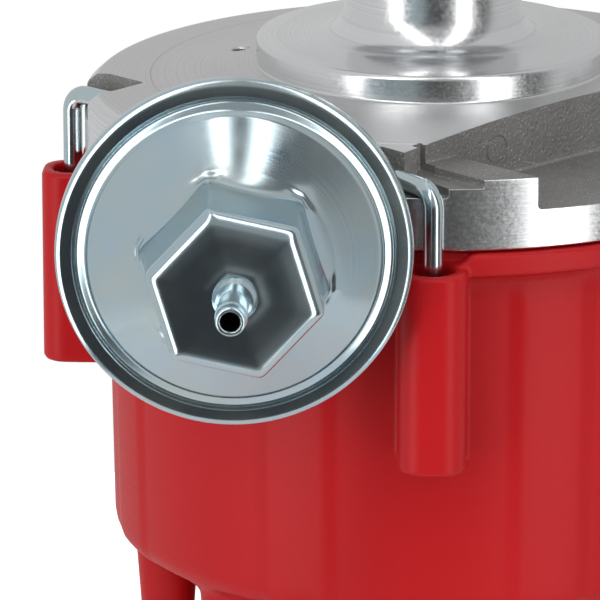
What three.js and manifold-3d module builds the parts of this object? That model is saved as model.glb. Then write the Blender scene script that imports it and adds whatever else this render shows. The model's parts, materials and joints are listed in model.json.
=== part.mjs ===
// Large-cap electronic ignition distributor, standing on its coil cover with the shaft pointing up.
// Millimetres, +Z up. The origin is the centre of the coil cover's flat face, and the shaft axis is Z.
// Heights below are measured from PLATE_Z, the outline of the housing's machined plate.
import * as THREE from 'three';
import { mergeVertices } from 'three/addons/utils/BufferGeometryUtils.js';
import Module from 'manifold-3d';

const wasm = await Module();
wasm.setup();

// ---- driving dimensions ----
const PLATE_Z = 137;            // plate outline above the coil cover's face
const GAP = 0.3;                // clearance between pieces that touch
const FINE = 40;                // sides of a large round
const ROUND = 16;               // sides of a medium round
const SMALL = 8;                // sides of a small round

const SHAFT_R = 6.23;
const SHAFT_TOP = 150;
const SHAFT_BOTTOM = -53;
const BORE_R = 9.3;             // bushing seats in the housing
const STEM_R = 15.6;
const STEM_TOP = 112;
const COLLAR_R = 25;
const COLLAR_Z = [30, 38];
const NECK_R = 17.1;
const DISC_R = 34.1;
const DISC_TOP = 8.6;
const PLATE_R = 63.3;
const HOUSING_R = 67.4;
const FLANGE_Z = -16.2;         // housing flange against the cap's rim
const BOWL_R = 58;
const BOWL_FLOOR = -6.5;
const HUB_R = 13;
const HUB_BOTTOM = -24;

const RECESS_AZ = 43.2;         // middle of the cast recess
const RECESS_CHORD = 37.8;      // its wall's distance from the shaft axis
const RECESS_HALF = 32;         // half length of its deep part
const RECESS_STEP = 40.6;       // where its ledge steps down to a seat
const RECESS_FLOOR = -8.7;
const RECESS_LEDGE = -2.6;
const RECESS_SEAT = -4.2;
const RECESS_INSIDE = -12.2;    // bowl floor below the recess

const CAP_RIM_R = 69;
const CAP_RIM_Z = FLANGE_Z - GAP;
const CAP_SHOULDER = -91;
const TOWER_AZ = -3.5;          // azimuth of the first spark tower
const TOWER_COUNT = 8;
const TOWER_RING = 52;
const TOWER_TIP = -117;

const LATCH_RING = 70;
const LATCH_ROD_R = 1.85;
const LATCH_ARM_Z = -3.9;
const LATCH_ARM = 12;
const LATCH_HOOK_DEG = 35;      // arm's turn away from the radial direction
const LATCH_BOSS_TOP = -18.8;
const LATCH_BOSS_BOTTOM = -57;
const LATCHES = [               // azimuth, and the side on which the hook's notch lies
  { name: 'front', az: -1.8, side: -1 },
  { name: 'right', az: 88.2, side: 1 },
  { name: 'back', az: 176.6, side: -1 },
  { name: 'left', az: -93.4, side: 1 },
];

const CAN_X = -38.7;            // vacuum can's axis
const CAN_Z = -12.1;
const CAN_R = 32.6;
const CAN_RIM = 82.5;           // rim face's distance in front of the shaft axis
const CAN_BACK = 70.6;
const HEX_FACE = 110.8;
const HEX_FLATS = 28.2;
const HEX_BASE_FLATS = 30;
const NIPPLE_TIP = 126;
const HEX_TURN = -13;
const PICKUP_PIN_R = 38.7;

const COVER_HALF = [39, 33];
const COVER_CORNER = 22;
const COVER_TOP = CAP_SHOULDER - GAP;
const COVER_WALL = 2.6;
const HOOD_AZ = -161;           // connector hood's azimuth

// ---- colours ----
const finish = (color, roughness, metalness) => ({ color, roughness, metalness });
const ALUMINIUM = finish(0xb4b6b8, 0.35, 1);
const ZINC = finish(0xaab4ba, 0.28, 1);
const STEEL = finish(0x9a9da0, 0.35, 1);
const IRON = finish(0x55585c, 0.55, 1);
const BRASS = finish(0xc2a24c, 0.35, 1);
const BRONZE = finish(0x9c7440, 0.5, 1);
const COPPER = finish(0xa8602e, 0.4, 1);
const RED_PLASTIC = finish(0xb01c20, 0.4, 0);
const BLACK_PLASTIC = finish(0x1b1b1c, 0.5, 0);
const TAN_PLASTIC = finish(0xb89a68, 0.5, 0);
const RUBBER = finish(0x161616, 0.8, 0);
const CARBON = finish(0x2a2a2c, 0.7, 0);
const PAPER = finish(0x8a7454, 0.9, 0);

// ---- placing ----
const rad = THREE.MathUtils.degToRad;
// Azimuths start at -Y and turn towards +X. A local frame has x outward and y along rising azimuth.
const azimuthMatrix = (az) => new THREE.Matrix4().makeRotationZ(rad(az - 90));
const polar = (r, az) => [r * Math.sin(rad(az)), -r * Math.cos(rad(az))];

// ---- solids ----
function clean(geometry) {
  const bare = geometry.index ? geometry.toNonIndexed() : geometry.clone();
  bare.deleteAttribute('normal');
  bare.deleteAttribute('uv');
  const merged = mergeVertices(bare, 1e-4);
  const index = [];
  const old = merged.index.array;
  for (let i = 0; i < old.length; i += 3) {
    const [a, b, c] = [old[i], old[i + 1], old[i + 2]];
    if (a !== b && b !== c && c !== a) index.push(a, b, c);
  }
  merged.setIndex(index);
  if (volume(merged) < 0) {
    for (let i = 0; i < index.length; i += 3) [index[i], index[i + 1]] = [index[i + 1], index[i]];
    merged.setIndex(index);
  }
  return merged;
}

function volume(geometry) {
  const p = geometry.attributes.position;
  const index = geometry.index.array;
  const [a, b, c] = [new THREE.Vector3(), new THREE.Vector3(), new THREE.Vector3()];
  let sum = 0;
  for (let i = 0; i < index.length; i += 3) {
    a.fromBufferAttribute(p, index[i]);
    b.fromBufferAttribute(p, index[i + 1]);
    c.fromBufferAttribute(p, index[i + 2]);
    sum += a.dot(b.cross(c));
  }
  return sum / 6;
}

function toSolid(geometry) {
  const merged = clean(geometry);
  return new wasm.Manifold(new wasm.Mesh({
    numProp: 3,
    vertProperties: new Float32Array(merged.attributes.position.array),
    triVerts: new Uint32Array(merged.index.array),
  }));
}

function toGeometry(solid) {
  const mesh = solid.getMesh();
  const geometry = new THREE.BufferGeometry();
  geometry.setAttribute('position', new THREE.BufferAttribute(mesh.vertProperties, 3));
  geometry.setIndex(new THREE.BufferAttribute(mesh.triVerts, 1));
  return geometry;
}

const join = (...parts) => parts.map(toSolid).reduce((sum, next) => sum.add(next));
const cut = (body, ...tools) => toGeometry(tools.map(toSolid)
  .reduce((left, tool) => left.subtract(tool), toSolid(body)));
const fuse = (...parts) => toGeometry(join(...parts));

// A round body about Z from [r, z] points: on the axis at both ends, or closed on itself.
function turned(points, sides = ROUND) {
  const profile = points.map(([r, z]) => new THREE.Vector2(r, z));
  if (points[0][0] > 0 || points.at(-1)[0] > 0) profile.push(profile[0].clone());
  return clean(new THREE.LatheGeometry(profile, sides).rotateX(Math.PI / 2));
}

const rod = (r, z0, z1, sides = SMALL) => turned([[0, z0], [r, z0], [r, z1], [0, z1]], sides);
const ring = (inner, outer, z0, z1, sides = ROUND) => turned(
  [[inner, z0], [outer, z0], [outer, z1], [inner, z1]], sides);

function outline(points) {
  const shape = new THREE.Shape();
  points.forEach(([x, y], i) => (i ? shape.lineTo(x, y) : shape.moveTo(x, y)));
  shape.closePath();
  return shape;
}

function slab(shape, z0, z1, curveSegments = 6) {
  const options = { depth: z1 - z0, bevelEnabled: false, curveSegments };
  return clean(new THREE.ExtrudeGeometry(shape, options).translate(0, 0, z0));
}

function roundedBox(halfX, halfY, corner, z0, z1, steps = 5) {
  const shape = new THREE.Shape();
  const [x, y] = [halfX - corner, halfY - corner];
  shape.absarc(x, y, corner, 0, Math.PI / 2);
  shape.absarc(-x, y, corner, Math.PI / 2, Math.PI);
  shape.absarc(-x, -y, corner, Math.PI, 1.5 * Math.PI);
  shape.absarc(x, -y, corner, 1.5 * Math.PI, 2 * Math.PI);
  shape.closePath();
  return slab(shape, z0, z1, steps);
}

function box(x0, x1, y0, y1, z0, z1) {
  const geometry = new THREE.BoxGeometry(x1 - x0, y1 - y0, z1 - z0);
  return geometry.translate((x0 + x1) / 2, (y0 + y1) / 2, (z0 + z1) / 2);
}

const at = (geometry, x, y, z = 0) => geometry.clone().translate(x, y, z);
const atAzimuth = (geometry, az) => geometry.clone().applyMatrix4(azimuthMatrix(az));
const placed = (geometry, r, az, z = 0) => atAzimuth(at(geometry, r, 0, z), az);

function tube(points, r, steps, sides = 8) {
  const circle = new THREE.Shape();
  for (let i = 0; i < sides; i++) {
    const turn = (i / sides) * 2 * Math.PI;
    const [x, y] = [r * Math.cos(turn), r * Math.sin(turn)];
    if (i) circle.lineTo(x, y); else circle.moveTo(x, y);
  }
  circle.closePath();
  const path = new THREE.CatmullRomCurve3(points.map((p) => new THREE.Vector3(...p)), false, 'centripetal');
  return clean(new THREE.ExtrudeGeometry(circle, { steps, extrudePath: path }));
}

// ---- the object, and its top level at the plate's height ----
const distributor = new THREE.Group();
distributor.position.z = PLATE_Z;

function add(name, geometry, look, parent = distributor) {
  const material = new THREE.MeshStandardMaterial(look);
  const mesh = new THREE.Mesh(geometry, material);
  mesh.name = name;
  parent.add(mesh);
  return mesh;
}

// ---- housing: bowl, machined plate, neck, collar and stem in one casting ----
function housingBody() {
  const fillet = [];
  const [filletR, filletZ] = [29 - NECK_R, DISC_TOP + 12];
  for (let i = 0; i <= 6; i++) {
    const turn = (i / 6) * (Math.PI / 2);
    fillet.push([29 - filletR * Math.sin(turn), filletZ - 12 * Math.cos(turn)]);
  }
  return turned([
    [BORE_R, HUB_BOTTOM], [HUB_R, HUB_BOTTOM], [HUB_R, BOWL_FLOOR], [BOWL_R, BOWL_FLOOR], [BOWL_R, -21],
    [61, -21], [61, FLANGE_Z], [HOUSING_R, FLANGE_Z], [HOUSING_R, -2.5], [66.3, -1], [65, -0.3],
    [PLATE_R, 0], [DISC_R, 3.4], [DISC_R, DISC_TOP - 0.9], [33.2, DISC_TOP], ...fillet,
    [NECK_R, COLLAR_Z[0] - 2], [NECK_R + 2, COLLAR_Z[0]], [COLLAR_R, COLLAR_Z[0]],
    [COLLAR_R, COLLAR_Z[1]], [STEM_R, COLLAR_Z[1]], [STEM_R, 70], [STEM_R - 1.3, 71],
    [STEM_R - 1.3, 77], [STEM_R, 78], [STEM_R, STEM_TOP - 1.5], [STEM_R - 1.5, STEM_TOP],
    [BORE_R, STEM_TOP], [BORE_R, 94], [8, 94], [8, 4], [BORE_R, 4],
  ], FINE);
}

function latchNotch({ az, side }) {
  const walls = [[62.7, 0.3], [55.3, 9.9], [60.9, 13.7], [80, 15], [80, -6], [66.6, -2.6]];
  return atAzimuth(slab(outline(walls.map(([x, y]) => [x, side * y])), -5.9, 20), az);
}

function recessTools() {
  const seat = (s) => slab(outline([
    [RECESS_CHORD, s * RECESS_STEP], [80, s * RECESS_STEP], [80, s * 70], [RECESS_CHORD, s * 70],
  ]), RECESS_SEAT, 20);
  const tools = [
    box(RECESS_CHORD, 80, -60, 60, RECESS_LEDGE, 20),
    box(RECESS_CHORD, 80, -RECESS_HALF, RECESS_HALF, RECESS_FLOOR, 20),
    seat(-1),
    seat(1),
  ];
  return tools.map((tool) => atAzimuth(tool, RECESS_AZ));
}

const MODULE_AZ = RECESS_AZ + 180;
const MODULE_SCREWS = [-17, 17];
const MODULE_R = 42;
const CONDENSER_AZ = 150;

function housing() {
  // A thicker floor under the recess, trimmed to the bowl's round wall.
  const pad = toSolid(atAzimuth(box(RECESS_CHORD - 3.2, 64, -51, 51, RECESS_INSIDE, -4), RECESS_AZ))
    .intersect(toSolid(rod(BOWL_R + 1, RECESS_INSIDE - 1, 0, FINE)));
  const canWindow = box(CAN_X - 12.5, CAN_X + 12.5, -75, -25, -22, BOWL_FLOOR - 0.02);
  const leadWindow = placed(box(-12, 14, -6, 6, -22, -9), 58, HOOD_AZ);
  const vent = at(rod(1.6, -10, 10), -37.2, 12.3);
  return cut(toGeometry(toSolid(housingBody()).add(pad)), ...recessTools(), ...LATCHES.map(latchNotch),
    canWindow, leadWindow, vent);
}

add('housing', housing(), ALUMINIUM);
add('upper_bushing', ring(6.42, BORE_R - GAP, 94 + GAP, STEM_TOP), BRONZE);
add('lower_bushing', ring(6.42, BORE_R - GAP, HUB_BOTTOM, 4 - GAP), BRONZE);
const gasketZ = COLLAR_Z[1] + GAP;
add('mounting_gasket', ring(STEM_R + GAP, COLLAR_R, gasketZ, gasketZ + 1.2), PAPER);
add('lead_grommet', placed(fuse(
  box(1.6, 10, -5.6, 5.6, -16, -9.4),
  box(9.8, 11.4, -7.5, 7.5, -16, -7.6),
), 58, HOOD_AZ), RUBBER);

// ---- drive shaft with its gear ----
const PIN_Z = 141;
const GEAR_TEETH = 13;
const pinHole = (r) => rod(r, -20, 20).rotateX(Math.PI / 2).translate(0, 0, PIN_Z);

function driveGear() {
  const shape = new THREE.Shape();
  for (let i = 0; i < GEAR_TEETH; i++) {
    for (const [share, r] of [[0, 13.4], [0.22, 13.4], [0.4, 16.2], [0.68, 16.2], [0.86, 13.4]]) {
      const turn = ((i + share) / GEAR_TEETH) * 2 * Math.PI;
      const [x, y] = [r * Math.cos(turn), r * Math.sin(turn)];
      if (i || share) shape.lineTo(x, y); else shape.moveTo(x, y);
    }
  }
  shape.closePath();
  const [z0, z1] = [114.1, 135];
  const steps = 4;
  const options = { depth: z1 - z0, bevelEnabled: false, steps };
  const teeth = clean(new THREE.ExtrudeGeometry(shape, options));
  const p = teeth.attributes.position;
  for (let i = 0; i < p.count; i++) {
    const turn = (p.getZ(i) / (z1 - z0)) * rad(34);
    const [x, y] = [p.getX(i), p.getY(i)];
    p.setXY(i, x * Math.cos(turn) - y * Math.sin(turn), x * Math.sin(turn) + y * Math.cos(turn));
  }
  const blank = fuse(teeth.translate(0, 0, z0), rod(12, z1 - 1, 146.5, ROUND));
  return cut(blank, rod(6.6, 100, 160, ROUND), pinHole(2.7));
}

add('drive_shaft', cut(
  turned([[0, SHAFT_BOTTOM], [SHAFT_R, SHAFT_BOTTOM], [SHAFT_R, SHAFT_TOP - 1], [SHAFT_R - 1, SHAFT_TOP],
    [0, SHAFT_TOP]]),
  pinHole(2.7),
  box(-1.7, 1.7, -10, 10, SHAFT_TOP - 5, SHAFT_TOP + 5),
), STEEL);
add('drive_gear', driveGear(), IRON);
add('gear_roll_pin', ring(1.2, 2.38, -11.6, 11.6, SMALL).rotateX(Math.PI / 2).translate(0, 0, PIN_Z), STEEL);
add('thrust_washer', ring(6.6, 13.5, STEM_TOP + GAP, STEM_TOP + 1.5), STEEL);

// ---- magnetic pickup around the hub ----
const PICKUP_Z = -15.3;
function pickupPlate() {
  const arm = slab(outline([[-43.5, -5], [-26, -9], [-26, 9], [-43.5, 5]]), PICKUP_Z, PICKUP_Z + 1.5);
  const pin = at(rod(1.3, PICKUP_Z + 0.5, -9.2), -PICKUP_PIN_R, 0);
  return cut(fuse(rod(30, PICKUP_Z, PICKUP_Z + 1.5, ROUND), arm, pin), rod(14.2, -20, 0, ROUND));
}

function poleTeeth(inner, outer, z0, z1, width) {
  return Array.from({ length: TOWER_COUNT }, (_, i) => placed(
    box(inner, outer, -width / 2, width / 2, z0, z1), 0, TOWER_AZ + 22.5 + i * 45));
}

add('pickup_plate', pickupPlate(), ZINC);
add('magnet_ring', ring(17, 29, -18.5, PICKUP_Z - GAP), CARBON);
add('pickup_coil', ring(18.5, 27.5, -24.3, -18.8), COPPER);
add('pole_piece', fuse(ring(16.2, 29, -26.1, -24.6), ...poleTeeth(15.7, 18.2, -30, -25, 3.4)), ZINC);

// ---- timer core, centrifugal advance and rotor ----
const WEIGHT_PLATE = [-47.9, -46.2];
const WEIGHT_PIVOT = 24;
const ROTOR_POSTS = [[-20, 20], [20, -20]];
function timerCore() {
  const teeth = poleTeeth(8, 14.4, -30, -26.5, 3.4).map((tooth) => tooth.rotateZ(rad(22.5)));
  return cut(fuse(rod(9, -45.9, -24.6, ROUND), ...teeth), rod(6.45, -60, 0, ROUND));
}

function weightPlate() {
  const pins = [-1, 1].map((s) => at(rod(2, -52.2, -47), s * WEIGHT_PIVOT, 0));
  const holes = ROTOR_POSTS.map(([x, y]) => at(rod(1.9, -60, 0), x, y));
  return cut(fuse(rod(33, ...WEIGHT_PLATE, ROUND), ...pins), rod(6.45, -60, 0, ROUND), ...holes);
}

function advanceWeight(turn) {
  const shape = outline([[28, -3], [28.4, 5], [24, 16], [16, 24], [4, 26.5], [-7, 24], [-5, 15.5], [9, 13.5],
    [17, 6], [19.6, -3], [24, -5]]);
  const plate = slab(shape, -51.5, -48.3);
  return cut(plate, at(rod(2.35, -60, 0), WEIGHT_PIVOT, 0)).rotateZ(turn);
}

function advanceSpring(turn) {
  const [x0, y0, x1, y1] = [22, 8, 4, 12];
  const length = Math.hypot(x1 - x0, y1 - y0);
  const body = rod(1.5, 0, length).rotateY(Math.PI / 2).rotateZ(Math.atan2(y1 - y0, x1 - x0));
  return body.translate(x0, y0, -54.2).rotateZ(turn);
}

add('timer_core', timerCore(), IRON);
add('weight_plate', weightPlate(), ZINC);
[['a', 0], ['b', Math.PI]].forEach(([name, turn]) => {
  add(`advance_weight_${name}`, advanceWeight(turn), ZINC);
  add(`advance_spring_${name}`, advanceSpring(turn), STEEL);
});
const camShape = new THREE.Shape().absellipse(0, 0, 9.5, 7.4, 0, 2 * Math.PI);
add('advance_cam', cut(slab(camShape, -52, -48.3), rod(6.5, -60, 0, ROUND)), STEEL);

function rotorBody() {
  const posts = ROTOR_POSTS.map(([x, y]) => at(rod(3.5, -58, -48.2), x, y));
  const body = fuse(rod(36, -60.5, -57.5), box(0, 42, -6, 6, -63.5, -60), rod(9, -70, -60, ROUND),
    ...posts);
  return cut(body, ...ROTOR_POSTS.map(([x, y]) => at(rod(1.9, -80, 0), x, y)));
}

function rotorSegment() {
  const side = outline([[-7, -71.5], [11, -71.5], [11, -65], [44, -65], [44, -59.5], [42.6, -59.5],
    [42.6, -63.8], [9.6, -63.8], [9.6, -70.3], [-7, -70.3]]);
  return slab(side, -3.5, 3.5).rotateX(Math.PI / 2);
}

const screw = (headR, headH, shankR, length) => turned(
  [[0, -headH], [headR, -headH], [headR, 0], [shankR, 0], [shankR, length], [0, length]], SMALL);
add('rotor', rotorBody(), RED_PLASTIC);
add('rotor_segment', rotorSegment(), BRASS);
ROTOR_POSTS.forEach(([x, y], i) => {
  add(`rotor_screw_${i + 1}`, at(screw(3.2, 2, 1.55, 15), x, y, -60.5 - GAP), STEEL);
});

// ---- electronics on the bowl's floor ----
add('ignition_module', atAzimuth(fuse(
  roundedBox(10, 22, 3, -12.4, BOWL_FLOOR - GAP, 2).translate(MODULE_R, 0, 0),
  roundedBox(7, 12, 2, -15.6, -12, 2).translate(MODULE_R, 0, 0),
  ...MODULE_SCREWS.map((y) => at(rod(3, -14.2, -12), MODULE_R, y)),
), MODULE_AZ), BLACK_PLASTIC);
const strap = box(30, 42, -4, 4, BOWL_FLOOR - 1.8, BOWL_FLOOR - GAP);
const can = rod(5.5, -11, 11, ROUND).rotateX(Math.PI / 2).translate(42, 0, -12.4);
add('condenser', atAzimuth(fuse(strap, can), CONDENSER_AZ), ZINC);

// ---- distributor cap ----
function capBody() {
  const corner = [];
  for (let i = 0; i <= 3; i++) {
    const turn = (i / 3) * (Math.PI / 2);
    corner.push([57.1 + 5 * Math.sin(turn), CAP_SHOULDER + 5 - 5 * Math.cos(turn)]);
  }
  return turned([
    [0, CAP_SHOULDER], ...corner, [63.3, -24], [65, -21.8], [CAP_RIM_R, -20.6], [CAP_RIM_R, CAP_RIM_Z],
    [61 + GAP, CAP_RIM_Z], [61 + GAP, -21.5], [58.8, -22.5], [58.8, -81], [54, -86.5], [0, -86.5],
  ], FINE);
}

function latchBoss() {
  const shape = new THREE.Shape();
  shape.moveTo(61, -6.2);
  shape.absarc(LATCH_RING - 0.2, 0, 6.2, -Math.PI / 2, Math.PI / 2);
  shape.lineTo(61, 6.2);
  shape.closePath();
  return slab(shape, LATCH_BOSS_BOTTOM, LATCH_BOSS_TOP, 8);
}

const latchTools = () => [
  at(rod(4, -30, 0, ROUND), LATCH_RING, 0),
  at(rod(2.3, -40, 0, SMALL), LATCH_RING, 0),
  at(rod(4.7, -70, -34, ROUND), LATCH_RING, 0),
  box(65, 80, -8.5, 8.5, LATCH_BOSS_TOP, 0),
];

const towerAz = (i) => TOWER_AZ + i * (360 / TOWER_COUNT);
const HOOD = { r0: 60, r1: 75, half: 12, z0: -90, z1: -72 };

function cap() {
  const tower = turned([[0, CAP_SHOULDER + 2], [6.5, CAP_SHOULDER + 2], [4.7, TOWER_TIP], [0, TOWER_TIP]], ROUND);
  const towers = Array.from({ length: TOWER_COUNT }, (_, i) => placed(tower, TOWER_RING, towerAz(i)));
  const bores = Array.from({ length: TOWER_COUNT }, (_, i) => placed(
    rod(1.95, -130, 0), TOWER_RING, towerAz(i)));
  const hood = atAzimuth(box(HOOD.r0, HOOD.r1, -HOOD.half, HOOD.half, HOOD.z0, HOOD.z1), HOOD_AZ);
  const socket = atAzimuth(box(HOOD.r0 + 4.6, HOOD.r1 - 2, -HOOD.half + 2, HOOD.half - 2, HOOD.z0 - 5,
    HOOD.z1 - 3), HOOD_AZ);
  const slots = [-5.5, 5.5].map((y) => atAzimuth(box(68.3, 70.3, y - 3.5, y + 3.5, -80, -60), HOOD_AZ));
  const brushHolder = rod(7, -87, -76, ROUND);
  return cut(
    fuse(capBody(), ...towers, ...LATCHES.map(({ az }) => atAzimuth(latchBoss(), az)), hood, brushHolder),
    ...bores, rod(3.4, -100, 0), socket, ...slots,
    ...LATCHES.flatMap(({ az }) => latchTools().map((tool) => atAzimuth(tool, az))),
    ...COVER_SCREWS.map(([x, y]) => at(rod(1.9, -130, -87.5), x, y)),
  );
}

const COVER_SCREWS = [[-36, 0], [36, 0], [0, 30]];
add('distributor_cap', cap(), RED_PLASTIC);

const terminal = fuse(
  turned([[0, -127], [2.2, -127], [3.2, -126], [3.2, -124], [2.4, -123], [2.4, -121], [3.2, -120],
    [3.2, TOWER_TIP - GAP], [0, TOWER_TIP - GAP]], SMALL),
  rod(1.6, TOWER_TIP - 1, -84),
  box(-6.6, 2, -2, 2, -86.1, -62),
);
for (let i = 0; i < TOWER_COUNT; i++) {
  add(`spark_terminal_${i + 1}`, placed(terminal, TOWER_RING, towerAz(i)), BRASS);
}
add('centre_brush', rod(3, -90, -71.9), CARBON);
[['battery_blade', -5.5], ['tach_blade', 5.5]].forEach(([name, y]) => {
  add(name, atAzimuth(box(68.7, 69.9, y - 3.1, y + 3.1, -88.5, -69), HOOD_AZ), BRASS);
});

// ---- ignition coil and its cover on the cap ----
const coverFloor = -PLATE_Z;
function coilCover() {
  const lugs = COVER_SCREWS.map(([x, y]) => at(rod(5, -99, COVER_TOP, ROUND), x, y));
  const shell = fuse(roundedBox(...COVER_HALF, COVER_CORNER, coverFloor, COVER_TOP), ...lugs);
  const [hx, hy] = COVER_HALF;
  const inside = toSolid(roundedBox(hx - COVER_WALL, hy - COVER_WALL, COVER_CORNER - COVER_WALL,
    coverFloor + COVER_WALL, 0));
  const keep = COVER_SCREWS.map(([x, y]) => toSolid(at(rod(5, -99, 0, ROUND), x, y)));
  const hollow = keep.reduce((left, lug) => left.subtract(lug), inside);
  const wells = COVER_SCREWS.flatMap(([x, y]) => [
    at(rod(1.9, -120, 0), x, y), at(rod(4, -150, -97), x, y)]);
  return cut(toGeometry(toSolid(shell).subtract(hollow)), ...wells);
}

add('coil_cover', coilCover(), RED_PLASTIC);
COVER_SCREWS.forEach(([x, y], i) => {
  add(`cover_screw_${i + 1}`, at(screw(3.2, 2.2, 1.55, 8.5), x, y, -97 - GAP), STEEL);
});
const CORE = { x: 27, y: 22, z0: -118, z1: -101 };
add('coil_core', cut(
  box(-CORE.x, CORE.x, -CORE.y, CORE.y, CORE.z0, CORE.z1),
  box(-16.5, 16.5, -14, 14, CORE.z0 - 1, CORE.z1 + 1),
), IRON);
add('coil_winding', roundedBox(16, 13.6, 5, -131, -94.5, 3), BLACK_PLASTIC);

// ---- latches that clamp the housing to the cap ----
function latch(side) {
  const bend = 3.4;
  const turn = rad(LATCH_HOOK_DEG);
  const inward = (d) => [-d * Math.cos(turn), side * d * Math.sin(turn)];
  const points = [[0, 0, -53.8], [0, 0, -30], [0, 0, LATCH_ARM_Z - bend - 2]];
  for (let i = 0; i <= 4; i++) {
    const angle = (i / 4) * (Math.PI / 2);
    const [x, y] = inward(bend * (1 - Math.cos(angle)));
    points.push([x, y, LATCH_ARM_Z - bend + bend * Math.sin(angle)]);
  }
  points.push([...inward(8), LATCH_ARM_Z], [...inward(LATCH_ARM), LATCH_ARM_Z]);
  const head = cut(rod(4.2, -56.2, -53.2, ROUND), box(-0.7, 0.7, -6, 6, -58, -54.9));
  return fuse(tube(points, LATCH_ROD_R, 16), head);
}

LATCHES.forEach(({ name, az, side }) => {
  add(`latch_${name}`, placed(latch(side), LATCH_RING, az), ZINC);
  add(`latch_spring_${name}`, placed(ring(2.3, 4.3, -52.8, -34 - GAP, SMALL), LATCH_RING, az), STEEL);
});

// ---- vacuum advance: local z points outward from the shaft axis ----
const vacuum = new THREE.Group();
vacuum.position.set(CAN_X, 0, CAN_Z);
vacuum.rotation.x = Math.PI / 2;
distributor.add(vacuum);

// A six-sided nose that narrows from its base to its face, with a bevel round the face.
function hexNose(base) {
  const corner = (flats) => flats / 2 / Math.cos(Math.PI / 6);
  return turned([
    [0, base], [corner(HEX_BASE_FLATS), base], [corner(HEX_FLATS), HEX_FACE - 1.3],
    [corner(HEX_FLATS - 2.6), HEX_FACE], [0, HEX_FACE],
  ], 6).rotateZ(rad(HEX_TURN));
}

function canFront() {
  const face = CAN_RIM + 0.3;
  const dish = turned([
    [0, 96.3], [14, 96.3], [26.3, 84], [27.4, 83.1], [28.9, CAN_RIM], [29, face], [31.4, face],
    [CAN_R, face - 1.1], [CAN_R, 79.2], [31.2, 79.2], [31.2, 80.9], [0, 80.9],
  ], FINE);
  const inside = turned([[0, 79], [28.4, 79], [28.4, 81.2], [25.6, 82.4], [13, 95], [11.4, 97.5],
    [11.4, HEX_FACE - 1.5], [0, HEX_FACE - 1.5]], FINE);
  return cut(fuse(dish, hexNose(88)), inside, rod(2.7, 100, 120));
}

function nipple() {
  const seat = HEX_FACE + GAP;
  return turned([[1.7, seat - 4], [2.4, seat - 4], [2.4, seat], [4, seat], [3.9, seat + 0.8],
    [3.1, seat + 2.2], [2.7, seat + 4], [2.7, NIPPLE_TIP - 0.6], [2.3, NIPPLE_TIP], [1.7, NIPPLE_TIP]], 16);
}

add('vacuum_can_front', canFront(), ZINC, vacuum);
add('vacuum_can_back', turned([[4.5, CAN_BACK], [19.4, CAN_BACK], [27.6, 78.8], [30.9, 78.9], [30.9, 80.4],
  [28.6, 80.4], [27, 80.2], [18.8, CAN_BACK + 1.2], [4.5, CAN_BACK + 1.2]], FINE), ZINC, vacuum);
add('vacuum_nipple', nipple(), ZINC, vacuum);
add('vacuum_diaphragm', ring(15.2, 25, 79.6, 80.3), RUBBER, vacuum);
add('diaphragm_plate', ring(0.9, 14, 79.4, 80.6), ZINC, vacuum);
add('diaphragm_spring', ring(7, 8.4, 80.6 + GAP, 100), STEEL, vacuum);

function vacuumBracket() {
  const flange = cut(box(-11, 11, -9, 5.4, 67.8, CAN_BACK - GAP), rod(3, 60, 80, ROUND));
  const tongue = box(-12, 12, 2.4, 4.2, 33, 69);
  const screws = [-9, 9].map((x) => rod(2.8, -2.6, 0).rotateX(Math.PI / 2).translate(x, 0, 41));
  return fuse(flange, tongue, ...screws);
}

function linkRod() {
  const eye = ring(1.85, 3.6, -0.6, 1.2, ROUND).rotateX(-Math.PI / 2);
  return fuse(rod(1.5, 3, 79.1), eye);
}

add('vacuum_bracket', vacuumBracket(), ZINC, vacuum);
add('vacuum_link', linkRod(), STEEL, vacuum);

export default distributor;
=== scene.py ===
"""Large-cap electronic ignition distributor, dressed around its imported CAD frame.

Lengths in the helpers are millimetres and heights are measured from the housing's machined plate.
"""
import json
import math

import bmesh
import bpy
import numpy as np
from mathutils import Matrix, Vector

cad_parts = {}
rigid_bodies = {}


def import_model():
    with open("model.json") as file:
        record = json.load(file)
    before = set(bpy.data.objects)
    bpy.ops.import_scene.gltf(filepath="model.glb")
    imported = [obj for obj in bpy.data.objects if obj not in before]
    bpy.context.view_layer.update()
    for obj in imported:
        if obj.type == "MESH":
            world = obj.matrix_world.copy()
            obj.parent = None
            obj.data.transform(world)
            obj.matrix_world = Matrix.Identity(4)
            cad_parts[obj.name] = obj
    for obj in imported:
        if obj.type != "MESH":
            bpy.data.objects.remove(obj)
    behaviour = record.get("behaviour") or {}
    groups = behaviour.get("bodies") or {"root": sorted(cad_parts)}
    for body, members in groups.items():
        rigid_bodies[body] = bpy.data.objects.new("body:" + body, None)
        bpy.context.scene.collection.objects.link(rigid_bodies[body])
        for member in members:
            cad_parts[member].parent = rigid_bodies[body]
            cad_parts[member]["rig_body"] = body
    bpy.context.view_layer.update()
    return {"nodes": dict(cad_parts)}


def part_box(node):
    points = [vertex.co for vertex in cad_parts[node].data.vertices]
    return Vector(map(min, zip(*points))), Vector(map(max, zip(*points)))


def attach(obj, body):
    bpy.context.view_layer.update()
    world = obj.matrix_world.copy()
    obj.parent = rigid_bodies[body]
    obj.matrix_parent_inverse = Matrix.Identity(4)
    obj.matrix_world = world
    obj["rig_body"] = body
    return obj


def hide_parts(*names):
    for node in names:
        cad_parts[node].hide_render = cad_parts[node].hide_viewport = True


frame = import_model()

MM = 0.001
STEM_TOP = 112.0
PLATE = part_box("housing")[1].z / MM - STEM_TOP      # the plate's height above the floor
TAU = 2 * math.pi


def corner(name, side):
    """A corner of a CAD node's box in millimetres from the plate's centre."""
    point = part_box(name)[side]
    return point.x / MM, point.y / MM, point.z / MM - PLATE


def centre(name):
    low, high = corner(name, 0), corner(name, 1)
    return tuple((a + b) / 2 for a, b in zip(low, high))


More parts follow.
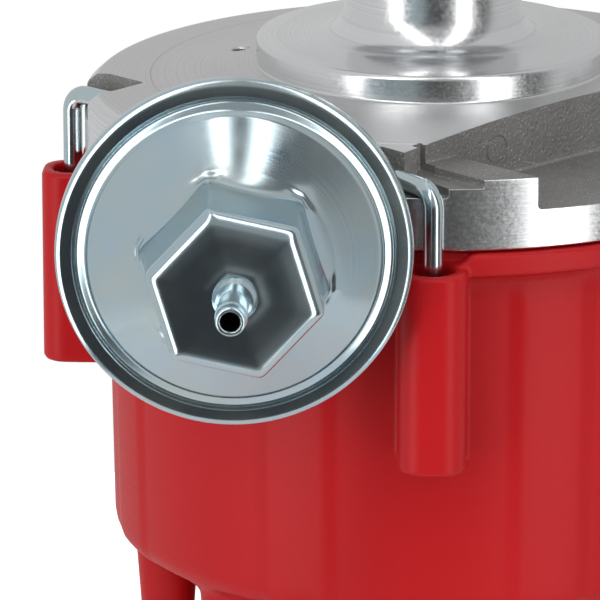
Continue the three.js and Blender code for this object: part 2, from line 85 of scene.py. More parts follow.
def polar(radius, azimuth):
    """Azimuths start at -Y and turn towards +X."""
    turn = math.radians(azimuth)
    return radius * math.sin(turn), -radius * math.cos(turn)


def about_z(azimuth):
    """Turns a local frame (x outward, y along rising azimuth) to its azimuth."""
    return Matrix.Rotation(math.radians(azimuth - 90), 4, "Z")


def shift(x, y, z=0.0):
    return Matrix.Translation((x, y, z))


# ---------------- meshes
def make(name, points, faces, place=None, sharp=35.0):
    """A smooth-shaded object from millimetre points."""
    points = np.asarray(points, float).reshape(-1, 3)
    if place is not None:
        turn = np.array(place.to_3x3())
        points = points @ turn.T + np.array(place.translation)
    points = (points + (0, 0, PLATE)) * MM
    return add_mesh(name, points.tolist(), [list(map(int, face)) for face in faces], sharp)


def add_mesh(name, points, faces, sharp):
    mesh = bpy.data.meshes.new(name)
    mesh.from_pydata(points, [], faces)
    mesh.validate()
    obj = bpy.data.objects.new(name, mesh)
    bpy.context.scene.collection.objects.link(obj)
    tidy_normals(obj, sharp)
    return obj


def tidy_normals(obj, sharp=35.0):
    obj.data.shade_smooth()
    if sharp:
        obj.data.set_sharp_from_angle(angle=math.radians(sharp))


def drop(obj):
    mesh = obj.data
    bpy.data.objects.remove(obj)
    bpy.data.meshes.remove(mesh)


def applied(obj):
    """The object's mesh with its modifiers applied."""
    bpy.context.view_layer.update()
    graph = bpy.context.evaluated_depsgraph_get()
    mesh = bpy.data.meshes.new_from_object(obj.evaluated_get(graph))
    obj.modifiers.clear()
    return mesh


def swap(obj, mesh, sharp=35.0):
    old = obj.data
    obj.data = mesh
    bpy.data.meshes.remove(old)
    tidy_normals(obj, sharp)
    return obj


def rounded(corners, steps=6):
    """A polyline from (a, b) or (a, b, radius) corners, each radius turned into an arc."""
    out = []
    count = len(corners)
    for i, point in enumerate(corners):
        radius = point[2] if len(point) > 2 else 0
        here = np.array(point[:2], float)
        if not radius or i in (0, count - 1):
            out.append(tuple(here))
            continue
        before = np.array(corners[i - 1][:2], float) - here
        after = np.array(corners[i + 1][:2], float) - here
        room = min(np.linalg.norm(before), np.linalg.norm(after))
        before, after = before / np.linalg.norm(before), after / np.linalg.norm(after)
        angle = math.acos(max(-1, min(1, float(before @ after))))
        reach = min(radius / math.tan(angle / 2), room * 0.49)
        radius = reach * math.tan(angle / 2)
        middle = before + after
        middle = here + middle / np.linalg.norm(middle) * radius / math.sin(angle / 2)
        start, end = here + before * reach - middle, here + after * reach - middle
        turn = math.atan2(start[0] * end[1] - start[1] * end[0], float(start @ end))
        for k in range(steps + 1):
            a = turn * k / steps
            out.append((middle[0] + start[0] * math.cos(a) - start[1] * math.sin(a),
                        middle[1] + start[0] * math.sin(a) + start[1] * math.cos(a)))
    return out


def lathe(name, corners, sides=192, place=None, sharp=35.0, steps=6):
    """A round body about Z: closed on itself, or open to the axis where it starts and ends at 0."""
    profile = rounded(corners, steps)
    sides = sides
    points, rings = [], []
    for radius, height in profile:
        start = len(points)
        if radius < 1e-6:
            points.append((0, 0, height))
            rings.append([start] * sides)
        else:
            points += [(radius * math.cos(TAU * k / sides), radius * math.sin(TAU * k / sides), height)
                       for k in range(sides)]
            rings.append([start + k for k in range(sides)])
    closed = profile[0][0] > 1e-6 and profile[-1][0] > 1e-6
    pairs = list(zip(rings, rings[1:])) + ([(rings[-1], rings[0])] if closed else [])
    faces = []
    for lower, upper in pairs:
        for k in range(sides):
            n = (k + 1) % sides
            face = []
            for v in (lower[k], lower[n], upper[n], upper[k]):
                if v not in face:
                    face.append(v)
            if len(face) > 2:
                faces.append(face)
    return outward(make(name, points, faces, place, sharp), sharp)


def outward(obj, sharp=35.0):
    """Points every face out of its body."""
    work = bmesh.new()
    work.from_mesh(obj.data)
    bmesh.ops.recalc_face_normals(work, faces=work.faces)
    work.to_mesh(obj.data)
    work.free()
    tidy_normals(obj, sharp)
    return obj


def prism(name, shape, z0, z1, place=None, sharp=35.0):
    """A solid between two heights from an outline."""
    count = len(shape)
    points = [(x, y, z0) for x, y in shape] + [(x, y, z1) for x, y in shape]
    faces = [list(range(count))[::-1], list(range(count, 2 * count))]
    faces += [[k, (k + 1) % count, count + (k + 1) % count, count + k] for k in range(count)]
    return outward(make(name, points, faces, place, sharp), sharp)


def block(name, x0, x1, y0, y1, z0, z1, place=None):
    return prism(name, [(x0, y0), (x1, y0), (x1, y1), (x0, y1)], z0, z1, place)


def rod(name, radius, z0, z1, sides=48, place=None):
    return lathe(name, [(0, z0), (radius, z0), (radius, z1), (0, z1)], sides, place)


def loops(name, rings, place=None, sharp=35.0, closed=False):
    """Skins equal-length point rings, with flat ends unless the last ring meets the first."""
    count = len(rings[0])
    points = [p for ring in rings for p in ring]
    faces = []
    spans = len(rings) if closed else len(rings) - 1
    for i in range(spans):
        a, b = i * count, ((i + 1) % len(rings)) * count
        faces += [[a + k, a + (k + 1) % count, b + (k + 1) % count, b + k] for k in range(count)]
    if not closed:
        faces += [list(range(count))[::-1], list(range(len(points) - count, len(points)))]
    return outward(make(name, points, faces, place, sharp), sharp)


def wire(name, path, radius, sides=20, place=None):
    """A round wire along a path, with softly rounded ends."""
    path = np.asarray(path, float)
    tangents = np.gradient(path, axis=0)
    tangents /= np.linalg.norm(tangents, axis=1)[:, None]
    side = np.cross(tangents[0], (0.31, 0.52, 0.79))
    across = []
    for tangent in tangents:
        side = side - tangent * (side @ tangent)
        side /= np.linalg.norm(side)
        across.append((side.copy(), np.cross(tangent, side)))
    turn = np.arange(sides) * TAU / sides

    def ring(spot, pair, size):
        return [tuple(spot + size * (math.cos(a) * pair[0] + math.sin(a) * pair[1])) for a in turn]

    def end(spot, inward, pair):
        return [ring(spot + inward * radius * 0.35 * share, pair,
                     radius * (0.72 + 0.28 * math.sin(share * math.pi / 2)))
                for share in (0.0, 0.25, 0.6, 0.85)]

    rings = end(path[0], tangents[0], across[0])
    rings += [ring(path[i], across[i], radius) for i in range(1, len(path) - 1)]
    rings += end(path[-1], -tangents[-1], across[-1])[::-1]
    return loops(name, rings, place, sharp=50)


def helix(name, mean, radius, z0, z1, coils, place=None, sides=10):
    """A closed-end coil spring about Z."""
    steps = 28
    path = []
    for k in range(int(coils * steps) + 1):
        share = k / (coils * steps)
        eased = share - math.sin(TAU * share) / TAU * 0.35
        turn = k / steps * TAU
        path.append((mean * math.cos(turn), mean * math.sin(turn),
                     z0 + radius + (z1 - z0 - 2 * radius) * eased))
    return wire(name, path, radius, sides, place)


def add_bevel(obj, width, segments, angle):
    bevel = obj.modifiers.new("edges", "BEVEL")
    bevel.width = width * MM
    bevel.segments = segments
    bevel.limit_method = "ANGLE"
    bevel.angle_limit = math.radians(angle)


def soften(obj, width, segments=3):
    add_bevel(obj, width, segments, 30)
    return swap(obj, applied(obj))


def volume(mesh):
    work = bmesh.new()
    work.from_mesh(mesh)
    size = work.calc_volume(signed=True)
    work.free()
    return size


NUDGE = Vector((0.011, 0.007, 0.013))


def combine(obj, others, operation="DIFFERENCE", sharp=35.0):
    """Cuts with, or adds, the other objects and removes them.

    A result whose volume can't be right is redone with the other solver, then with a nudged tool.
    """
    for other in others:
        whole, tool = volume(obj.data), volume(other.data)
        low, high = {"DIFFERENCE": (whole - tool, whole), "UNION": (max(whole, tool), whole + tool),
                     "INTERSECT": (0, min(whole, tool))}[operation]
        slack = 1e-4 * whole + 1e-12
        for attempt in range(8):
            step = obj.modifiers.new(other.name, "BOOLEAN")
            step.operation = operation
            step.solver = "MANIFOLD" if attempt % 2 == 0 else "EXACT"
            step.object = other
            mesh = applied(obj)
            size = volume(mesh)
            if low - slack <= size <= high + slack and size > 0:
                break
            bpy.data.meshes.remove(mesh)
            if attempt % 2:
                other.data.transform(Matrix.Translation(NUDGE * MM))
        else:
            raise RuntimeError(f"{operation} of {other.name} with {obj.name} failed")
        swap(obj, mesh, sharp)
    for other in others:
        drop(other)
    return obj


def merge(name, objects):
    """Keeps several bodies of one piece in one object."""
    points, faces = [], []
    for obj in objects:
        start = len(points)
        points += [tuple(v.co) for v in obj.data.vertices]
        faces += [[start + v for v in face.vertices] for face in obj.data.polygons]
        drop(obj)
    return add_mesh(name, points, faces, 35.0)


# ---------------- moulded shapes from distance fields
def polygon_field(a, b, corners):
    """Signed distance to a polygon, negative inside."""
    corners = np.asarray(corners, np.float32)
    best = np.full(a.shape, 1e9, np.float32)
    inside = np.zeros(a.shape, bool)
    for (ax, ay), (bx, by) in zip(corners, np.roll(corners, -1, axis=0)):
        ex, ey = bx - ax, by - ay
        px, py = a - ax, b - ay
        along = np.clip((px * ex + py * ey) / (ex * ex + ey * ey), 0, 1)
        dx, dy = px - along * ex, py - along * ey
        np.minimum(best, dx * dx + dy * dy, out=best)
        if ey:
            crosses = ((ay <= b) != (by <= b)) & (px < ex * py / ey)
            inside ^= crosses
    best = np.sqrt(best)
    return np.where(inside, -best, best)


def blend_union(a, b, k):
    h = np.clip(k - np.abs(a - b), 0, None) / k
    return np.minimum(a, b) - h * h * k / 4


def blend_cut(a, b, k):
    """a without b."""
    h = np.clip(k - np.abs(-b - a), 0, None) / k
    return np.maximum(a, -b) + h * h * k / 4


def quadrant(a, b):
    """Distance to a square corner whose two sides lie at signed distances a and b."""
    return np.sqrt(np.maximum(a, 0) ** 2 + np.maximum(b, 0) ** 2) + np.minimum(np.maximum(a, b), 0)


def slab_field(x, y, z, half, bend, z0, z1, edge):
    """An upright block with rounded corners of radius bend and eased edges."""
    across = quadrant(np.abs(x) - half[0] + bend, np.abs(y) - half[1] + bend) - bend
    along = np.abs(z - (z0 + z1) / 2) - (z1 - z0) / 2
    return quadrant(across + edge, along + edge) - edge


def box_field(x, y, z, half, radius=0.0):
    dx, dy, dz = abs(x) - half[0] + radius, abs(y) - half[1] + radius, abs(z) - half[2] + radius
    outside = np.sqrt(np.maximum(dx, 0) ** 2 + np.maximum(dy, 0) ** 2 + np.maximum(dz, 0) ** 2)
    return outside + np.minimum(np.maximum(dx, np.maximum(dy, dz)), 0) - radius


def rod_field(x, y, z, radius, z0, z1, edge=0.0):
    across = np.sqrt(x * x + y * y) - radius + edge
    along = np.abs(z - (z0 + z1) / 2) - (z1 - z0) / 2 + edge
    return quadrant(across, along) - edge


def local(x, y, azimuth):
    """Outward and sideways distances in the local frame at an azimuth."""
    turn = math.radians(azimuth)
    s, c = math.sin(turn), math.cos(turn)
    return x * s - y * c, x * c + y * s


def field_mesh(name, field, low, high, voxel):
    """The zero surface of a distance field, each vertex moved onto it."""
    axes = [np.arange(lo - 2 * voxel, hi + 2 * voxel + voxel, voxel, dtype=np.float32)
            for lo, hi in zip(low, high)]
    size = [len(axis) for axis in axes]
    values = np.empty(size, np.float32)
    for k in range(0, size[2], 12):
        grid = np.meshgrid(axes[0], axes[1], axes[2][k:k + 12], indexing="ij")
        values[:, :, k:k + 12] = field(*grid)
    cells = np.array(size) - 1
    total = int(np.prod(cells))
    sums = np.zeros((total, 3))
    hits = np.zeros(total)
    quads = []
    for axis in range(3):
        first = [slice(None)] * 3
        second = [slice(None)] * 3
        first[axis], second[axis] = slice(0, -1), slice(1, None)
        a, b = values[tuple(first)], values[tuple(second)]
        index = np.argwhere((a < 0) != (b < 0))
        keep = np.ones(len(index), bool)
        for other in range(3):
            if other != axis:
                keep &= (index[:, other] > 0) & (index[:, other] < size[other] - 1)
        index = index[keep]
        va, vb = a[tuple(index.T)], b[tuple(index.T)]
        spots = index.astype(float)
        spots[:, axis] += va / (va - vb)
        u, v = (axis + 1) % 3, (axis + 2) % 3
        around = []
        for du, dv in ((-1, -1), (0, -1), (0, 0), (-1, 0)):
            cell = index.copy()
            cell[:, u] += du
            cell[:, v] += dv
            flat = (cell[:, 0] * cells[1] + cell[:, 1]) * cells[2] + cell[:, 2]
            around.append(flat)
            for c in range(3):
                sums[:, c] += np.bincount(flat, spots[:, c], total)
            hits += np.bincount(flat, minlength=total)
        around = np.stack(around, 1)
        around[va > vb] = around[va > vb][:, ::-1]
        quads.append(around)
    quads = np.concatenate(quads)
    used = np.nonzero(hits)[0]
    number = np.full(total, -1)
    number[used] = np.arange(len(used))
    points = sums[used] / hits[used][:, None] * voxel + np.array([axis[0] for axis in axes])

    def slope(at, step):
        out = []
        for c in range(3):
            move = np.zeros(3)
            move[c] = step
            out.append(field(*(at + move).T) - field(*(at - move).T))
        return np.stack(out, 1) / (2 * step)

    for _ in range(3):
        value = field(*points.T)
        gradient = slope(points, 0.05)
        length = np.maximum((gradient ** 2).sum(1), 0.25)
        move = -(value / length)[:, None] * gradient
        reach = np.linalg.norm(move, axis=1)
        points += move * np.minimum(1, 0.6 * voxel / np.maximum(reach, 1e-9))[:, None]
    normals = slope(points, 0.25)
    normals /= np.linalg.norm(normals, axis=1)[:, None] + 1e-9
    obj = make(name, points, number[quads], sharp=None)
    obj.data.normals_split_custom_set_from_vertices(normals.tolist())
    return obj


# ---------------- materials
class Look:
    """A small shader graph around one Principled surface."""

    def __init__(self, name):
        self.material = bpy.data.materials.new(name)
        self.material.use_nodes = True
        self.tree = self.material.node_tree
        self.tree.nodes.clear()
        self.out = self.new("ShaderNodeOutputMaterial")
        self.surface = self.new("ShaderNodeBsdfPrincipled")
        self.join(self.surface.outputs[0], self.out.inputs[0])
        coords = self.new("ShaderNodeTexCoord")
        self.at = coords.outputs["Object"]
        self.normal = None

    def new(self, kind):
        return self.tree.nodes.new(kind)

    def join(self, source, target):
        self.tree.links.new(source, target)

    def put(self, target, value):
        if hasattr(value, "is_output"):
            self.join(value, target)
        elif isinstance(value, (tuple, list)) and len(value) == 3 and len(target.default_value) == 4:
            target.default_value = (*value, 1)
        else:
            target.default_value = value

    def feed(self, node, values):
        for socket, value in zip(node.inputs, values):
            self.put(socket, value)
        return node.outputs[0]

    def math(self, kind, *values):
        node = self.new("ShaderNodeMath")
        node.operation = kind
        return self.feed(node, values)

    def spread(self, *values):
        """Maps a value from (low, high) to (to_low, to_high)."""
        return self.feed(self.new("ShaderNodeMapRange"), values)

    def noise(self, scale, detail=2.0, rough=0.5, stretch=None):
        node = self.new("ShaderNodeTexNoise")
        at = self.at
        if stretch:
            mapping = self.new("ShaderNodeMapping")
            self.join(at, mapping.inputs[0])
            mapping.inputs["Scale"].default_value = stretch
            at = mapping.outputs[0]
        self.join(at, node.inputs["Vector"])
        node.inputs["Scale"].default_value = scale
        node.inputs["Detail"].default_value = detail
        node.inputs["Roughness"].default_value = rough
        return node.outputs["Fac"]

    def pits(self, scale):
        node = self.new("ShaderNodeTexVoronoi")
        self.join(self.at, node.inputs["Vector"])
        node.inputs["Scale"].default_value = scale
        return node.outputs["Distance"]

    def mix(self, share, a, b):
        node = self.new("ShaderNodeMix")
        node.data_type = "RGBA"
        self.put(node.inputs[0], share)
        self.put(node.inputs[6], a)
        self.put(node.inputs[7], b)
        return node.outputs[2]

    def rings(self, middle, along, per_mm, detail=3.0):
        """Noise that only varies with radius and with distance along an axis: lathe marks."""
        node = self.new("ShaderNodeVectorMath")
        node.operation = "SUBTRACT"
        self.join(self.at, node.inputs[0])
        node.inputs[1].default_value = middle
        parts = self.new("ShaderNodeSeparateXYZ")
        self.join(node.outputs[0], parts.inputs[0])
        names = [n for n in "XYZ" if n != along]
        a, b = parts.outputs[names[0]], parts.outputs[names[1]]
        radius = self.math("SQRT", self.math("ADD", self.math("MULTIPLY", a, a), self.math("MULTIPLY", b, b)))
        mark = self.math("ADD", radius, self.math("MULTIPLY", parts.outputs[along], 0.83))
        noise = self.new("ShaderNodeTexNoise")
        noise.noise_dimensions = "1D"
        self.join(mark, noise.inputs["W"])
        noise.inputs["Scale"].default_value = per_mm / MM
        noise.inputs["Detail"].default_value = detail
        return noise.outputs["Fac"]

    def bump(self, height, depth_mm):
        node = self.new("ShaderNodeBump")
        self.join(height, node.inputs["Height"])
        node.inputs["Strength"].default_value = 1.0
        node.inputs["Distance"].default_value = depth_mm * MM
        if self.normal is not None:
            self.join(self.normal, node.inputs["Normal"])
        self.normal = node.outputs[0]

    def round_edges(self, radius_mm):
        node = self.new("ShaderNodeBevel")
        node.samples = 6
        node.inputs["Radius"].default_value = radius_mm * MM
        self.normal = node.outputs[0]

    def done(self, color, rough, metal=0.0, **more):
        self.put(self.surface.inputs["Base Color"], color)
        self.put(self.surface.inputs["Roughness"], rough)
        self.put(self.surface.inputs["Metallic"], metal)
        for name, value in more.items():
            self.put(self.surface.inputs[name.replace("_", " ")], value)
        if self.normal is not None:
            self.join(self.normal, self.surface.inputs["Normal"])
        return self.material


SHAFT = (0, 0, PLATE * MM)
CAN_X, _, CAN_Z = centre("vacuum_can_front")
CAN_AXIS = (CAN_X * MM, 0, (CAN_Z + PLATE) * MM)


def turned_aluminium(name, color, rough, edge, marks, grain, brushed):
    look = Look(name)
    look.round_edges(edge)
    lines = look.rings(SHAFT, "Z", 2.6)
    broad = look.noise(60, 3, 0.6)
    fine = look.noise(1500, 2, 0.6)
    look.bump(lines, marks)
    look.bump(fine, grain)
    dull = look.mix(look.spread(broad, 0.35, 0.7, 0, 1), tuple(c * 0.93 for c in color), color)
    shade = look.mix(look.spread(lines, 0.3, 0.7, 0, 1), tuple(c * 0.86 for c in color), dull)
    grooves = look.new("ShaderNodeTangent")
    grooves.direction_type, grooves.axis = "RADIAL", "Z"
    look.join(grooves.outputs[0], look.surface.inputs["Tangent"])
    look.put(look.surface.inputs["Anisotropic"], brushed)
    return look.done(shade, look.spread(fine, 0.25, 0.75, rough - 0.05, rough + 0.07), 1.0)


def cast_aluminium():
    look = Look("cast aluminium")
    look.round_edges(0.16)
    grain = look.noise(1500, 3, 0.6)
    lumps = look.noise(240, 3, 0.5)
    look.bump(lumps, 0.14)
    look.bump(grain, 0.3)
    patches = look.spread(look.noise(45, 4, 0.6), 0.35, 0.7, 0, 1)
    stain = look.mix(patches, (0.27, 0.265, 0.255), (0.34, 0.335, 0.325))
    glint = look.spread(look.pits(1500), 0.0, 0.27, 1.0, 0.0)
    shade = look.mix(glint, stain, (0.75, 0.75, 0.74))
    return look.done(shade, look.spread(grain, 0.3, 0.7, 0.6, 0.5), 0.85)


def zinc(name, base, rough, middle=None, along="Y", edge=0.0, drawn=0.004, tint=0.06):
    """Clear-passivated zinc: cool grey, a little mottled, with soft scuffs."""
    look = Look(name)
    if edge:
        look.round_edges(edge)
    clouds = look.noise(70, 4, 0.6)
    fine = look.noise(2600, 3, 0.7)
    specks = look.spread(look.pits(420), 0.0, 0.12, 1.0, 0.0)
    if middle:
        look.bump(look.rings(middle, along, 1.1, 2), drawn)
    look.bump(look.noise(320, 3, 0.55), 0.006)
    look.bump(fine, 0.002)
    cool = tuple(c * k for c, k in zip(base, (1 - tint, 1.0, 1 + tint)))
    warm = tuple(c * k for c, k in zip(base, (1 + tint * 0.4, 1.0, 1 - tint * 0.6)))
    shade = look.mix(look.spread(clouds, 0.35, 0.65, 0, 1), cool, warm)
    shade = look.mix(look.math("MULTIPLY", specks, 0.18), shade, tuple(c * 0.55 for c in base))
    return look.done(shade, look.spread(clouds, 0.3, 0.7, rough - 0.04, rough + 0.06), 1.0)


def plastic(name, color, deep, rough, peel=0.012, grain=0.004, shine=0.5):
    """Moulded plastic: soft orange peel, fine mould texture, faint flow tone."""
    look = Look(name)
    flow = look.noise(30, 3, 0.5, stretch=(1, 1, 0.35))
    skin = look.noise(230, 3, 0.5)
    fine = look.noise(1900, 2, 0.6)
    look.bump(skin, peel)
    look.bump(fine, grain)
    shade = look.mix(look.spread(flow, 0.3, 0.7, 0, 1), deep, color)
    rough = look.spread(fine, 0.3, 0.7, rough - 0.05, rough + 0.06)
    return look.done(shade, rough, Specular_IOR_Level=shine)


def simple_metal(name, light, dark, rough, scale, depth, edge):
    look = Look(name)
    look.round_edges(edge)
    broad = look.noise(scale * 0.2, 4, 0.6)
    fine = look.noise(scale * 4, 3, 0.6)
    look.bump(look.noise(scale, 3, 0.5), depth)
    shade = look.mix(look.spread(broad, 0.3, 0.7, 0, 1), dark, light)
    return look.done(shade, look.spread(fine, 0.3, 0.7, rough - 0.06, rough + 0.08), 1.0)


POLISHED = turned_aluminium("polished aluminium", (0.80, 0.81, 0.82), 0.2, 0.35, 0.0025, 0.0008, 0.6)
SATIN = turned_aluminium("satin aluminium", (0.66, 0.66, 0.66), 0.4, 0.25, 0.008, 0.006, 0.3)
CAST = cast_aluminium()
ZINC_CAN = zinc("zinc plated can", (0.50, 0.60, 0.635), 0.17, CAN_AXIS, "Y", 0.35)
ZINC_PLAIN = zinc("zinc plated sheet", (0.52, 0.60, 0.63), 0.26, None, "Z", 0.25)
WIRE = zinc("zinc plated latch wire", (0.55, 0.64, 0.66), 0.16, SHAFT, "Z", 0.0, 0.002, 0.05)
STEEL = simple_metal("ground shaft steel", (0.62, 0.62, 0.62), (0.5, 0.5, 0.51), 0.2, 500, 0.002, 0.2)
IRON = simple_metal("gear iron", (0.25, 0.25, 0.26), (0.14, 0.14, 0.145), 0.42, 600, 0.02, 0.3)
BRONZE = simple_metal("sintered bronze", (0.50, 0.33, 0.15), (0.34, 0.2, 0.09), 0.48, 900, 0.03, 0.2)
BRASS = simple_metal("brass terminals", (0.78, 0.58, 0.27), (0.62, 0.43, 0.17), 0.24, 300, 0.004, 0.15)
COPPER = simple_metal("enamelled copper", (0.55, 0.2, 0.07), (0.35, 0.1, 0.03), 0.3, 300, 0.004, 0.1)
RUBBER = plastic("black rubber", (0.022, 0.022, 0.023), (0.012, 0.012, 0.013), 0.62, 0.03, 0.02)
CARBON = plastic("carbon", (0.03, 0.03, 0.032), (0.012, 0.012, 0.013), 0.7, 0.03, 0.02)
BLACK = plastic("black plastic", (0.016, 0.016, 0.017), (0.008, 0.008, 0.009), 0.4)
RED = plastic("red cap plastic", (0.52, 0.0085, 0.012), (0.45, 0.0065, 0.009), 0.43, 0.010, 0.006, 0.22)


def gasket_paper():
    look = Look("gasket paper")
    fibre = look.noise(700, 4, 0.7, stretch=(1, 1, 0.3))
    look.bump(fibre, 0.08)
    shade = look.mix(look.spread(fibre, 0.3, 0.7, 0, 1), (0.13, 0.095, 0.06), (0.3, 0.235, 0.15))
    return look.done(shade, 0.85)


PAPER = gasket_paper()
SLOT_LOOKS = {
    "machined_aluminium": POLISHED, "bronze": BRONZE, "gasket_paper": PAPER, "rubber": RUBBER,
    "shaft_steel": STEEL, "gear_iron": IRON, "zinc_plated_steel": ZINC_PLAIN, "latch_wire": WIRE,
    "red_cap_plastic": RED, "black_plastic": BLACK, "brass": BRASS, "copper_coil": COPPER, "carbon": CARBON,
}


def dress(piece, nodes, slot, *looks):
    """Gives a piece its materials, its body and the CAD nodes that it stands for."""
    nodes = [nodes] if isinstance(nodes, str) else nodes
    looks = looks or (SLOT_LOOKS[slot],)
    index = np.zeros(len(piece.data.polygons), np.int32)
    if len(looks) > 1:
        piece.data.polygons.foreach_get("material_index", index)
    piece.data.materials.clear()
    for look in looks:
        piece.data.materials.append(look)
    piece.data.polygons.foreach_set("material_index", index)
    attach(piece, frame["nodes"][nodes[0]]["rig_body"])
    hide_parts(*nodes)
    return piece


# ---------------- housing
BORE, DISC_R, DISC_TOP, NECK_R, COLLAR_R = 9.3, 34.1, 8.6, 17.1, 25.0
COLLAR_LOW, COLLAR_HIGH, STEM_R = 30.0, 38.0, 15.6
HOUSING_R, PLATE_R, FLANGE = 67.4, 63.3, -16.2
RECESS_AZ, RECESS_CHORD, RECESS_FLOOR, RECESS_HALF, RECESS_STEP = 43.2, 37.8, -8.7, 32.0, 40.6
CAN_WINDOW = 12.5
HOOD_AZ = -161.0
LATCHES = {"front": (-1.8, -1), "right": (88.2, 1), "back": (176.6, -1), "left": (-93.4, 1)}


def build_housing():
    profile = [
        (BORE, -24), (13, -24, 0.4), (13, -6.5, 1.0), (58, -6.5, 1.5), (58, -21), (61, -21, 0.4),
        (61, FLANGE), (HOUSING_R, FLANGE, 0.5), (HOUSING_R, -2.3, 1.6), (65.2, -0.35, 1.5), (PLATE_R, 0, 0.6),
        (54.75, 0.98), (54.6, 0.78), (54.45, 1.02), (DISC_R, 3.4, 0.5), (DISC_R, DISC_TOP, 0.9),
        (29.6, DISC_TOP + 0.12, 1.0), (NECK_R, DISC_TOP + 0.5, 11.4), (NECK_R, 27.2, 0.6),
        (NECK_R + 2, COLLAR_LOW, 0.5), (COLLAR_R, COLLAR_LOW, 0.8), (COLLAR_R, COLLAR_HIGH, 0.7),
        (STEM_R, COLLAR_HIGH, 0.6), (STEM_R, 70, 0.3), (14.3, 71, 0.8), (14.3, 77, 0.8), (STEM_R, 78, 0.3),
        (STEM_R, STEM_TOP - 1.5), (STEM_R - 1.5, STEM_TOP), (BORE, STEM_TOP), (BORE, 94), (8, 94), (8, 4),
        (BORE, 4),
    ]
    body = lathe("housing_casting", profile, 288, steps=7)
    at_recess = about_z(RECESS_AZ)
    pad = block("pad", RECESS_CHORD - 3.2, 64, -51, 51, -12.2, -5, at_recess)
    trim = rod("pad trim", 58.5, -13, -2, 192)
    combine(pad, [trim], "INTERSECT")
    combine(body, [pad], "UNION")
    ledge = block("ledge", RECESS_CHORD, 82, -60, 60, -2.6, 22, at_recess)
    well = block("well", RECESS_CHORD, 82, -RECESS_HALF, RECESS_HALF, RECESS_FLOOR, 22, at_recess)
    cutters = [soften(ledge, 0.5, 4), soften(well, 0.8, 5)]
    for side in (-1, 1):
        seat = [(RECESS_CHORD, side * RECESS_STEP), (82, side * RECESS_STEP), (82, side * 70),
                (RECESS_CHORD, side * 70)]
        cutters.append(soften(prism("seat", seat, -4.2, 22, at_recess), 0.35, 3))
    groove = block("groove", RECESS_CHORD - 1.5, RECESS_CHORD + 3, -RECESS_STEP - 1.4, -RECESS_STEP + .7,
                   -4.2, 22, at_recess)
    cutters.append(soften(groove, 0.3, 3))
    for azimuth, side in LATCHES.values():
        shape = [(62.7, .3), (55.3, 9.9), (60.9, 13.7), (82, 15), (82, -6), (66.6, -2.6)]
        notch = prism("notch", [(x, side * y) for x, y in shape], -5.9, 22, about_z(azimuth))
        cutters.append(soften(notch, 0.6, 4))
    cutters.append(block("can window", CAN_X - CAN_WINDOW, CAN_X + CAN_WINDOW, -75, -25, -23, -6.52))
    cutters.append(block("lead window", 46, 72, -6, 6, -22, -9, about_z(HOOD_AZ)))
    cutters.append(lathe("vent", [(0, -10), (1.6, -10), (1.6, 2.4), (1.85, 2.7), (1.85, 10), (0, 10)], 40,
                         shift(-37.2, 12.3)))
    mark = shift(RECESS_CHORD, -21, -3.5) @ Matrix.Rotation(math.pi / 2, 4, "Y")
    cutters.append(lathe("ejector mark", [(2.4, -0.16), (2.85, -0.16), (2.85, 3), (2.4, 3)], 48,
                         at_recess @ mark))
    finishes = (POLISHED, SATIN, CAST)
    for cutter in cutters:
        for look in finishes:
            cutter.data.materials.append(look)
        kind = 0 if cutter.name.startswith("vent") else 2
        cutter.data.polygons.foreach_set("material_index", [kind] * len(cutter.data.polygons))
    for look in finishes:
        body.data.materials.append(look)
    for face in body.data.polygons:
        spot = face.center / MM
        radius, height = math.hypot(spot.x, spot.y), spot.z - PLATE
        plate = DISC_R - 0.2 < radius < 65.6 and -1.2 < height < 3.6 and face.normal.z > 0.5
        inside = height < -4 and radius < 60.9
        face.material_index = 1 if plate else (2 if inside else 0)
    combine(body, cutters)
    return dress(body, "housing", "machined_aluminium", *finishes)


build_housing()

GASKET_LOW, GASKET_HIGH = corner("mounting_gasket", 0)[2], corner("mounting_gasket", 1)[2]
dress(lathe("gasket", [(STEM_R + .3, GASKET_LOW), (COLLAR_R, GASKET_LOW, .2), (COLLAR_R, GASKET_HIGH, .2),
                       (STEM_R + .3, GASKET_HIGH)], 160), "mounting_gasket", "gasket_paper")
for name in ("upper_bushing", "lower_bushing"):
    low, high = corner(name, 0)[2], corner(name, 1)[2]
    profile = [(6.42, low, .4), (9, low, .3), (9, high, .3), (6.42, high, .4), (6.42, low)]
    dress(lathe(f"{name}_sleeve", profile, 96), name, "bronze")

# ---------------- shaft and gear
PIN_Z = centre("gear_roll_pin")[2]
AT_PIN = shift(0, 0, PIN_Z) @ Matrix.Rotation(math.pi / 2, 4, "X")
SHAFT_LOW, SHAFT_HIGH = corner("drive_shaft", 0)[2], corner("drive_shaft", 1)[2]


def pin_hole(radius):
    return rod("pin hole", radius, -20, 20, 32, AT_PIN)


shaft = lathe("shaft_bar", [(0, SHAFT_LOW), (6.23, SHAFT_LOW, .5), (6.23, SHAFT_HIGH, 1.2),
                            (0, SHAFT_HIGH)], 96)
combine(shaft, [pin_hole(2.7), block("slot", -1.7, 1.7, -10, 10, SHAFT_HIGH - 5, SHAFT_HIGH + 5)])
dress(shaft, "drive_shaft", "shaft_steel")


